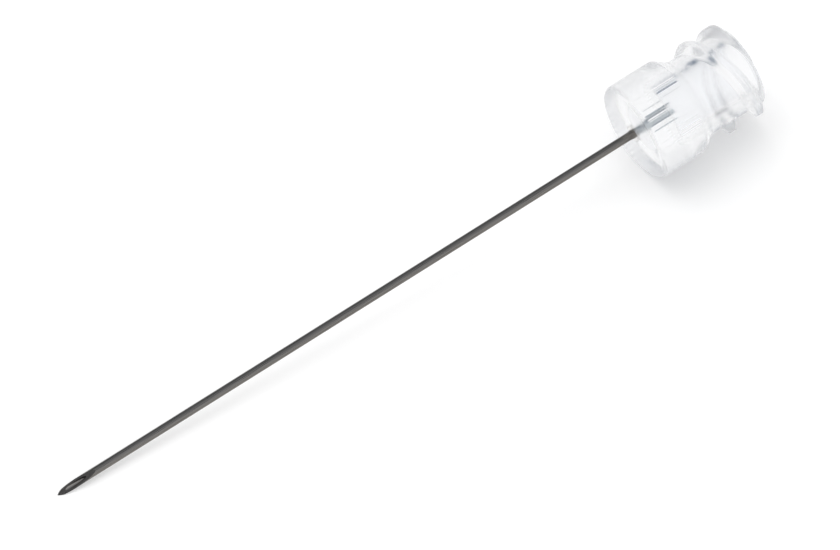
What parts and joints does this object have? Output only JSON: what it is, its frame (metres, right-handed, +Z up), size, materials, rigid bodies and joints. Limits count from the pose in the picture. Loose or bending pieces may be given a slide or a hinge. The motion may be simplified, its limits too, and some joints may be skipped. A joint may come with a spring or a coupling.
{
  "type": "hypodermic needle",
  "caption": "Bevelled steel needle bonded into a short ribbed plastic hub with a tapered socket and a double-start locking thread.",
  "frame": {"origin": "on the floor, under the middle of the lying needle's box", "axes": "+X from the point towards the hub's mouth, +Z up; the needle's own axis lies in the XZ plane and rises 3.9 degrees towards the mouth"},
  "size_m": [0.0636, 0.008, 0.0084],
  "materials": {
    "hub_plastic": "satin",
    "needle_steel": "satin",
    "bond_resin": "gloss"
  },
  "bodies": {
    "root": {"hub": "hub_plastic", "cannula": "needle_steel", "adhesive": "bond_resin"}
  },
  "joints": []
}
